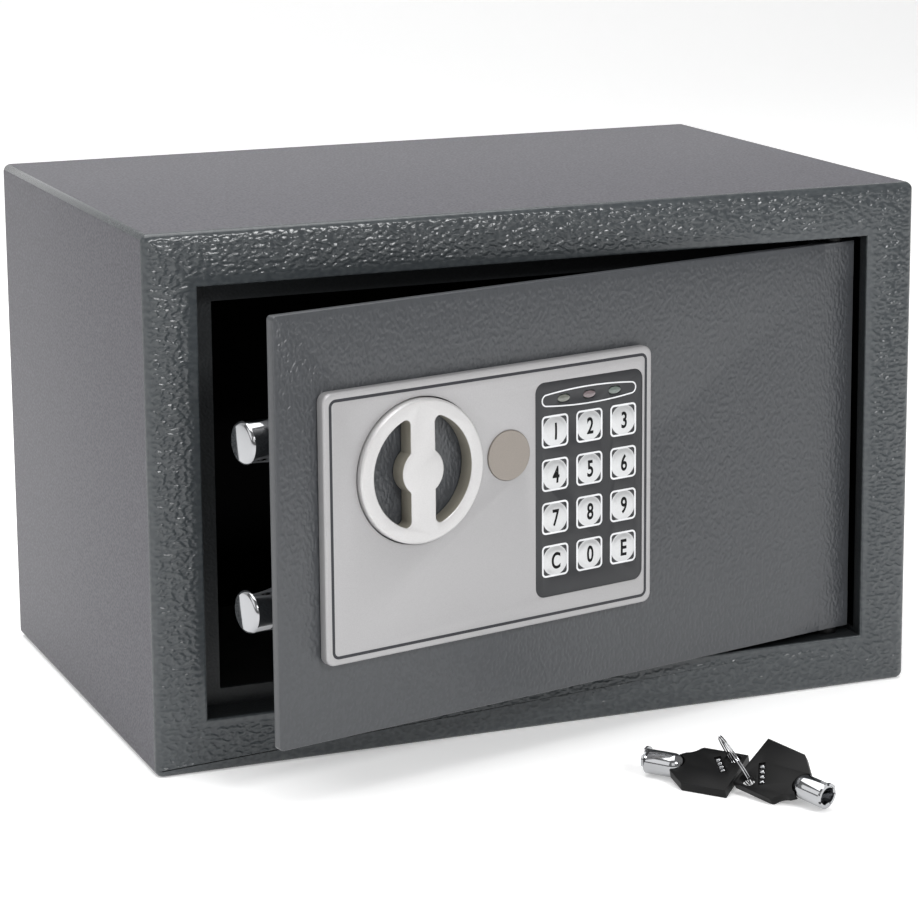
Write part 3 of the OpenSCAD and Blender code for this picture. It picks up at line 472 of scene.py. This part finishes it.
def buildCabinet():
    low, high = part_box("outer_shell")

    def bend(middle):
        if middle.y < low.y + 1e-4:
            across = min(middle.x - low.x, high.x - middle.x, middle.z - low.z, high.z - middle.z)
            return shellLook["frontBend"] if across < 0.004 else shellLook["openingBend"]
        return None

    shell = softened("outer_shell", shellLook["edge"], 3, bend, paint=rimPaint)
    # the inside, deep in the cabinet, takes the near-black painted shade, the opening's return the darker flange coat
    # as painted shade, the outer walls the smoother coat
    shell.data.materials.append(insideShadeMaterial)
    shell.data.materials.append(finish["body_paint"])
    shell.data.materials.append(flangeShadePaint)
    for face in shell.data.polygons:
        x, y, z = face.center
        across = min(x - low.x, high.x - x, z - low.z, high.z - z)
        if across > 0.001 and y > low.y + shellLook["shadeFrom"]:
            face.material_index = 1
        elif across < 1e-4:
            face.material_index = 2
        # faces of the opening's return, in front of the near-black depth, take the darker painted shade
        elif across > 0.001 and y > low.y + shellLook["openingBend"] / 1000:
            face.material_index = 3
    back = softened("back_panel", 0.3)
    # the back panel's inner face takes the near-black painted shade
    back.data.materials.append(insideShadeMaterial)
    for face in back.data.polygons:
        if face.normal.y < -0.5:
            face.material_index = 1
    for node, edge in (("hinge_lugs", 0.8), ("hinge_pins", 0.5), ("hinge_washers", 0.2), ("floor_mat", 0.6)):
        softened(node, edge)
    print("cabinet made")


# radius in mm of each piece's worn or moulded edges
edgeOf = {
    "door_cover": 0.4, "cover_screws": 0.3, "side_plug": 0.4,
    "bolt_bushes": 0.3, "keypad_plate": 0.15, "bolt_upper": 0.5, "bolt_lower": 0.5, "lock_cap": 0.1, "reset_button": 0.5,
    "battery_cover": 0.4, "knob_shaft": 0.3, "lock_plug": 0.2, "lock_barrel": 0.2,
}


doorLook = {"edge": 0.7, "seam": 0.0003, "panelEdge": 0.9, "panelBorder": 0.0016, "crisp": 0.06}


def buildDoor():
    low, high = shutBox("hinge_blocks")
    heights = turned(pointsOf("hinge_blocks"), -openAngle)[:, 2]
    middle = (low[2] + high[2]) / 2
    inner = heights[heights < middle].max(), heights[heights > middle].min()

    def seam(place):
        # where plate and hinge blocks meet, their edges stay sharp and closed
        x, _, z = turned(place, -openAngle)[0]
        near = doorLook["seam"]
        besideBlock = abs(x - low[0]) < near and not inner[0] + near < z < inner[1] - near
        aboveBlock = x > low[0] - near and min(abs(z - inner[0]), abs(z - inner[1])) < near
        return 0 if besideBlock or aboveBlock else None

    softened("door_plate", doorLook["edge"], 3, seam, paint=doorPaint)
    softened("hinge_blocks", doorLook["edge"], 3, seam, paint=doorPaint)
    panelLow, panelHigh = shutBox("control_panel")

    def panelEdge(place):
        # only the panel's outer edge is round: grooves and holes in its face are crisp
        x, _, z = turned(place, -openAngle)[0]
        inset = min(x - panelLow[0], panelHigh[0] - x, z - panelLow[2], panelHigh[2] - z)
        return None if inset < doorLook["panelBorder"] else doorLook["crisp"]

    softened("control_panel", doorLook["panelEdge"], 3, panelEdge)
    for node, edge in edgeOf.items():
        softened(node, edge)
    print("door made")


inlayLook = {"width": 1.1, "inset": 2.9, "corner": 2.2, "rise": 0.04}


def buildInlay():
    # dark line let into the panel's face, a rounded rectangle just inside its edge
    low, high = shutBox("control_panel")
    middle, half = (low + high) / 2, (high - low) / 2
    inset = inlayLook["inset"] / 1000
    path = roundedLoop(half[0] - inset, half[2] - inset, inlayLook["corner"] / 1000) + middle[[0, 2]]
    line = strip("panel_line", path, inlayLook["width"] / 1000, low[1], inlayLook["rise"] / 1000,
                 finish["inlay_black"], bodyOf["panel_inlay"], slotOf["panel_inlay"])
    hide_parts("panel_inlay")


knobLook = {"edge": 0.4, "skirt": 0.003}


def buildKnob():
    # silver in front; the walls of the finger gaps show the bare plastic
    knob = softened("knob", knobLook["edge"], 3)
    knob.data.materials.append(bareAbs)
    low, high = shutBox("knob")
    centre, radius = (low + high) / 2, (high[0] - low[0]) / 2
    out = Vector(onDoor(centre - [0, 1, 0])[0] - onDoor(centre)[0])
    for face in knob.data.polygons:
        x, _, z = turned(face.center, -openAngle)[0] - centre
        if math.hypot(x, z) < radius - knobLook["skirt"] and abs(face.normal.dot(out)) < 0.3:
            face.material_index = 1
    print("knob made")


def strip(name, path, width, front, rise, material, body, slot):
    # a raised printed line of a width along a closed path of x, z points in metres, on a surface at front
    # its section has four corners: half the width to each side of the path, along the path's normal
    ahead = np.roll(path, -1, 0) - np.roll(path, 1, 0)
    side = np.c_[ahead[:, 1], -ahead[:, 0]] / np.linalg.norm(ahead, axis=1)[:, None]
    section = ((1, 0.0), (1, rise), (-1, rise), (-1, 0.0))
    points = np.stack([np.c_[path + sign * side * width / 2, np.full(len(path), front - lift)]
                       for sign, lift in section], 1)[:, :, [0, 2, 1]]
    mesh = tidyMesh(gridMesh(name, onDoor(points).reshape(points.shape), True, True))
    return settle(name, mesh, material, body, slot)


def roundedLoop(halfX, halfZ, radius, steps=7):
    # points of a rectangle with round corners: each corner is a quarter circle about its own centre
    turn = np.linspace(0, math.pi / 2, steps)
    loops = [np.c_[sx * (halfX - radius) + radius * np.cos(turn + start), sz * (halfZ - radius)
             + radius * np.sin(turn + start)] for sx, sz, start in
             ((1, 1, 0), (-1, 1, math.pi / 2), (-1, -1, math.pi), (1, -1, 1.5 * math.pi))]
    return np.concatenate(loops)


keyLook = {
    "frame": 12.0, "frameRadius": 1.8, "line": 0.7, "rise": 0.08, "crown": 30.0, "flat": 3.9, "edgeDrop": 0.62,
    "sink": 0.65, "share": 0.98,
    "digit": 6.3, "digitWidth": 0.72, "stroke": 0.022, "digitRise": 0.05, "lozenge": (43.0, 2.1, 1.1), "lozengeLine": 0.5,
    "lens": 0.35, "lensHeight": 0.85,
}
digits = dict(zip("123456789c0e", "123456789C0E"))


def keyDepth(distance):
    # how far a key's face lies behind its crown: a shallow dome, then a rounded shoulder
    dome = distance ** 2 / (2 * keyLook["crown"])
    past = np.clip((distance - keyLook["flat"]) / (5.3 - keyLook["flat"]), 0, None)
    return dome + (keyLook["edgeDrop"] - dome) * past ** 2


def buildKey(letter):
    node = "key_" + letter
    low, high = shutBox(node)
    middle, radius = (low + high) / 2, (high[0] - low[0]) / 2 * keyLook["share"]
    face = low[1] + keyLook["sink"] / 1000
    body, slot = bodyOf[node], slotOf[node]
    # dome: rings of points about the key's axis, their depth given by keyDepth, then straight back
    rings = np.r_[np.linspace(0.02, 1, 22), 1, 1] * radius
    depth = keyDepth(rings * 1000) / 1000
    depth[-2], depth[-1] = depth[-2] + 0.0002, high[1] - face
    turn = np.linspace(0, 2 * math.pi, 48, endpoint=False)
    points = np.stack([middle[0] + np.outer(rings, np.cos(turn)),
                       face + np.repeat(depth[:, None], len(turn), 1),
                       middle[2] + np.outer(rings, np.sin(turn))], -1)
    mesh = tidyMesh(gridMesh(node + "_dome", onDoor(points).reshape(points.shape)))
    work = bmesh.new()
    work.from_mesh(mesh)
    bmesh.ops.holes_fill(work, edges=[edge for edge in work.edges if edge.is_boundary])
    bmesh.ops.recalc_face_normals(work, faces=work.faces)
    work.to_mesh(mesh)
    work.free()
    smoothByAngle(mesh, 50)
    settle(node + "_dome", mesh, finish[slot], body, slot, node)
    # the printed character follows the dome
    curve = bpy.data.curves.new(node + "_print", "FONT")
    curve.body, curve.size, curve.extrude, curve.offset = digits[letter], 1.0, 0.01, keyLook["stroke"]
    holder = bpy.data.objects.new(node + "_print", curve)
    bpy.context.scene.collection.objects.link(holder)
    bpy.context.view_layer.update()
    mesh = bpy.data.meshes.new_from_object(holder.evaluated_get(bpy.context.evaluated_depsgraph_get()))
    bpy.data.objects.remove(holder)
    work = bmesh.new()
    work.from_mesh(mesh)
    for axis, steps in (((0, 1, 0), 12), ((1, 0, 0), 10)):
        for level in np.linspace(-0.1, 0.9, steps):
            geometry = work.verts[:] + work.edges[:] + work.faces[:]
            bmesh.ops.bisect_plane(work, geom=geometry, dist=1e-6, plane_co=Vector(axis) * level, plane_no=axis)
    bmesh.ops.triangulate(work, faces=work.faces)
    work.to_mesh(mesh)
    work.free()
    flat = np.empty(len(mesh.vertices) * 3)
    mesh.vertices.foreach_get("co", flat)
    flat = flat.reshape(-1, 3)
    size = keyLook["digit"] / 1000 / (flat[:, 1].max() - flat[:, 1].min())
    x = (flat[:, 0] - (flat[:, 0].max() + flat[:, 0].min()) / 2) * size * keyLook["digitWidth"]
    z = (flat[:, 1] - (flat[:, 1].max() + flat[:, 1].min()) / 2) * size
    lift = np.where(flat[:, 2] > 0, keyLook["digitRise"], -0.1)
    y = face + (keyDepth(np.hypot(x, z) * 1000) - lift) / 1000
    mesh.vertices.foreach_set("co", onDoor(np.c_[middle[0] + x, y, middle[2] + z]).ravel())
    mesh.update()
    mesh.shade_flat()
    settle(node + "_character", mesh, blackPrint, body, slot)
    # printed frame round the key
    front = shutBox("keypad_plate")[0][1]
    half, line = keyLook["frame"] / 2000, keyLook["line"] / 1000
    corner = keyLook["frameRadius"] / 1000 - line / 2
    path = roundedLoop(half - line / 2, half - line / 2, corner) + middle[[0, 2]]
    strip(node + "_frame", path, line, front, keyLook["rise"] / 1000, whitePrint, "door", "keypad_film")


def buildKeypad():
    for letter in digits:
        buildKey(letter)
    # lozenge round the lamps: two shallow arcs joined by half circles
    low, high = np.array([shutBox(node) for node in ("lamp_left", "lamp_right")]).transpose(1, 0, 2)
    centre = (low.min(0) + high.max(0)) / 2
    width, end, bulge = keyLook["lozenge"]
    reach = width / 2 - end
    x = np.linspace(reach, -reach, 40)
    top = end + bulge * (1 - (x / reach) ** 2)
    turn = np.linspace(math.pi / 2, 1.5 * math.pi, 12)[1:-1]
    left = np.c_[-reach + end * np.cos(turn), end * np.sin(turn)]
    half = np.r_[np.c_[x, top], left]
    path = np.r_[half, -half] / 1000 + centre[[0, 2]]
    front = shutBox("keypad_plate")[0][1]
    for node in ("lamp_left", "lamp_middle", "lamp_right"):
        # oval lens: rings shrinking to the middle while the surface rises as 1 - r^2
        low, high = shutBox(node)
        place, share = (low + high) / 2, np.r_[np.linspace(0.02, 1, 10), 1]
        turn = np.linspace(0, 2 * math.pi, 40, endpoint=False)
        bow = keyLook["lens"] / 1000 * (1 - share ** 2)
        bow[-1] = low[1] - high[1]
        points = np.stack([place[0] + (high[0] - low[0]) / 2 * np.outer(share, np.cos(turn)),
                           front - np.repeat(bow[:, None], len(turn), 1),
                           place[2] + (high[2] - low[2]) / 2 * keyLook["lensHeight"] * np.outer(share, np.sin(turn))], -1)
        mesh = tidyMesh(gridMesh(node + "_lens", onDoor(points).reshape(points.shape)))
        smoothByAngle(mesh, 50)
        settle(node + "_lens", mesh, finish[slotOf[node]], bodyOf[node], slotOf[node], node)
    strip("lamp_frame", path, keyLook["lozengeLine"] / 1000, front, keyLook["rise"] / 1000, whitePrint, "door",
          "keypad_film")
    print("keypad made")


def keyFrame(letter):
    # a spare key's own axes: forward along the tube, up out of the flat head, and the middle of the head
    tube, head = (np.unique(np.round(pointsOf("spare_key_%s_%s" % (part, letter)), 7), axis=0)
                  for part in ("tube", "head"))
    spread, axes = np.linalg.eigh(np.cov(tube.T))
    forward = axes[:, 0 if spread[1] / spread[0] > spread[2] / spread[1] else 2]
    forward = forward * np.sign(forward @ (tube.mean(0) - head.mean(0)))
    up = np.linalg.eigh(np.cov(head.T))[1][:, 0]
    up = up - forward * (up @ forward)
    up = up / np.linalg.norm(up) * np.sign(up[2])
    left = np.cross(up, forward)
    axes = np.array([forward, left, up])
    low, high = (head @ axes.T).min(0), (head @ axes.T).max(0)
    middle = (low + high) / 2
    return axes, low, high, middle, tube @ axes.T


spareLook = {
    "edge": 0.6, "tubeEdge": 0.15, "lugs": 4, "lugHeight": 0.6, "wall": 1.0, "backToMiddle": 8.5,
    "window": (-0.8, -3.0), "windowTurn": -53.0, "windowLong": 10.0, "ribs": 4, "rib": (1.3, 2.3, 0.75), "floor": 0.8,
    "ringWire": 0.27, "ringSpread": 0.75, "ringTurns": 2.12,
}


def buildSpareKeys():
    for letter in "ab":
        tubeNode, headNode = "spare_key_tube_" + letter, "spare_key_head_" + letter
        softened(tubeNode, spareLook["tubeEdge"], 2)
        softened(headNode, spareLook["edge"], 3)
        axes, low, high, middle, tube = keyFrame(letter)
        # lugs round the tube's open end: a closed ring whose height steps with the angle
        end = tube[:, 0].max()
        rim = tube[tube[:, 0] > end - 1e-5][:, 1:]
        centre = (rim.max(0) + rim.min(0)) / 2
        radius = (rim.max(0) - rim.min(0)).max() / 2
        turn = np.linspace(0, 2 * math.pi, 180, endpoint=False)
        lugs = (np.sin(turn * spareLook["lugs"]) > -0.4) * spareLook["lugHeight"] / 1000
        inside = radius - spareLook["wall"] / 1000
        section = ((radius - 2e-5, 0 * turn - 0.0003), (radius - 2e-5, lugs), (inside, lugs),
                   (inside, 0 * turn - 0.0003))
        local = np.stack([np.c_[end + rise, centre[0] + size * np.cos(turn), centre[1] + size * np.sin(turn)]
                          for size, rise in section], 0)
        mesh = tidyMesh(gridMesh("lugs", (local @ axes), True, True), 1e-7)
        smoothByAngle(mesh, 30)
        settle("spare_key_lugs_" + letter, mesh, finish["chrome"], bodyOf[tubeNode], slotOf[tubeNode])
        # ribs in the head's window: each a pillow whose height falls as 1 - u^4 and 1 - v^4
        u, v = np.meshgrid(np.linspace(-1, 1, 9), np.linspace(-1, 1, 9), indexing="ij")
        across, long, tall = (value / 2000 for value in spareLook["rib"])
        turned53 = math.radians(spareLook["windowTurn"])
        cos, sin = math.cos(turned53), math.sin(turned53)
        work = bmesh.new()
        for place in (np.arange(spareLook["ribs"]) + 0.5) / spareLook["ribs"] - 0.5:
            x = u * across + place * spareLook["windowLong"] * 0.92 / 1000
            y = v * long
            rise = high[2] - spareLook["floor"] / 1000 + 2 * tall * (1 - u ** 4) * (1 - v ** 4)
            headX = low[0] + (spareLook["backToMiddle"] + spareLook["window"][0]) / 1000
            headY = middle[1] + spareLook["window"][1] / 1000
            local = np.stack([headX + x * cos - y * sin, headY + x * sin + y * cos, rise], -1)
            work.from_mesh(gridMesh("rib", local @ axes, False, False))
        bmesh.ops.recalc_face_normals(work, faces=work.faces)
        mesh = bpy.data.meshes.new("ribs")
        work.to_mesh(mesh)
        work.free()
        mesh.shade_smooth()
        settle("spare_key_ribs_" + letter, mesh, finish["chrome"], bodyOf[headNode], slotOf[tubeNode])
    buildRing()
    print("spare keys made")


def buildRing():
    # split ring: wire wound twice, the turns side by side; a circle of wire swept along a flat helix
    points = pointsOf("spare_key_ring")
    centre = points.mean(0)
    axes = np.linalg.eigh(np.cov((points - centre).T))[1].T
    normal, first, second = axes[0], axes[1], axes[2]
    wire = spareLook["ringWire"] / 1000
    reach = np.linalg.norm((points - centre) @ axes[1:].T, axis=1).max() - 2 * wire
    turn = np.linspace(0, 2 * math.pi * spareLook["ringTurns"], 240) + 0.6
    share = np.linspace(-1, 1, len(turn))
    offset = spareLook["ringSpread"] / 1000 * share * (1 + 0.6 * share ** 8)
    radial = np.outer(np.cos(turn), first) + np.outer(np.sin(turn), second)
    path = centre + radial * reach + np.outer(offset, normal)
    round8 = np.linspace(0, 2 * math.pi, 12, endpoint=False)
    taper = np.clip(np.minimum(np.arange(240), np.arange(239, -1, -1)) / 2, 0.05, 1)
    points = path[:, None] + wire * taper[:, None, None] * (
        np.cos(round8)[None, :, None] * radial[:, None] + np.sin(round8)[None, :, None] * normal)
    mesh = tidyMesh(gridMesh("split_ring", points, False, True), 1e-7)
    mesh.shade_smooth()
    settle("split_ring", mesh, finish["chrome"], bodyOf["spare_key_ring"], slotOf["spare_key_ring"], "spare_key_ring")


buildCabinet()
buildDoor()
buildKnob()
buildInlay()
buildKeypad()
buildSpareKeys()

for node, piece in frame["nodes"].items():
    piece.data.materials.clear()
    piece.data.materials.append(finish[slotOf[node]])

cameraSet = {"place": (-0.45348, -1.13658, 0.37264), "turn": (78.383, 0.432, -22.051), "lens": 121.608,
             "shift": -0.1002}


def buildCamera():
    camera = bpy.data.cameras.new("camera")
    camera.lens, camera.sensor_width, camera.shift_y = cameraSet["lens"], 36.0, cameraSet["shift"]
    camera.clip_start, camera.clip_end = 0.01, 20.0
    piece = bpy.data.objects.new("camera", camera)
    piece.location = cameraSet["place"]
    piece.rotation_euler = Euler([math.radians(angle) for angle in cameraSet["turn"]])
    bpy.context.scene.collection.objects.link(piece)
    bpy.context.scene.camera = piece


def buildStage():
    # floor that rises in a wide curve behind
    steps = np.linspace(0, math.pi / 2, 24)
    radius, back, front, half = 0.8, 1.6, -3.0, 4.0
    profile = np.r_[[[front, 0.0]], np.c_[back + radius * np.sin(steps), radius * (1 - np.cos(steps))],
                    [[back + radius, 4.0]]]
    across = np.linspace(-half, half, 2)
    points = np.stack([np.stack([np.full(len(profile), x), profile[:, 0], profile[:, 1]], -1) for x in across])
    mesh = gridMesh("floor", points, False, False)
    mesh.shade_smooth()
    material, tree, shader = newFinish("paleStudioPaper", "#f6f6f6", 0.9, Emission_Color=(1, 1, 1, 1), Emission_Strength=0.3)
    tree.links.new(ramp(tree, grain(tree, 3.0), 0.3, 0.7, ("#f3f3f3", "#f8f8f8")), shader.inputs["Base Color"])
    mesh.materials.append(material)
    floor = bpy.data.objects.new("floor", mesh)
    bpy.context.scene.collection.objects.link(floor)


lamps = {
    # name: place, aimed at, width, height, watts
    "overhead": ((-0.2, 0.1, 1.5), (0.0, 0.0, 0.1), 1.8, 1.4, 24.5),
    "left": ((-1.7, -0.35, 0.8), (0.0, 0.0, 0.1), 1.2, 1.0, 5.0),
    "front": ((-0.7, -1.8, 0.9), (0.0, -0.1, 0.1), 1.0, 0.8, 3.0),
    "glint": ((0.25, -1.3, 0.85), (-0.08, -0.1, 0.16), 0.42, 0.24, 8.5),
}


def buildLight():
    for name, (place, aim, width, height, watts) in lamps.items():
        light = bpy.data.lights.new(name, "AREA")
        light.shape, light.size, light.size_y, light.energy = "RECTANGLE", width, height, watts
        piece = bpy.data.objects.new(name, light)
        piece.location = place
        piece.rotation_euler = (Vector(aim) - Vector(place)).to_track_quat("-Z", "Y").to_euler()
        bpy.context.scene.collection.objects.link(piece)
    world = bpy.data.worlds.new("studio")
    world.use_nodes = True
    world.node_tree.nodes["Background"].inputs["Color"].default_value = (1.0, 1.0, 1.0, 1.0)
    world.node_tree.nodes["Background"].inputs["Strength"].default_value = 0.3
    bpy.context.scene.world = world
    bpy.context.scene.view_settings.view_transform = "Standard"


buildCamera()
buildStage()
buildLight()
print("stage made")
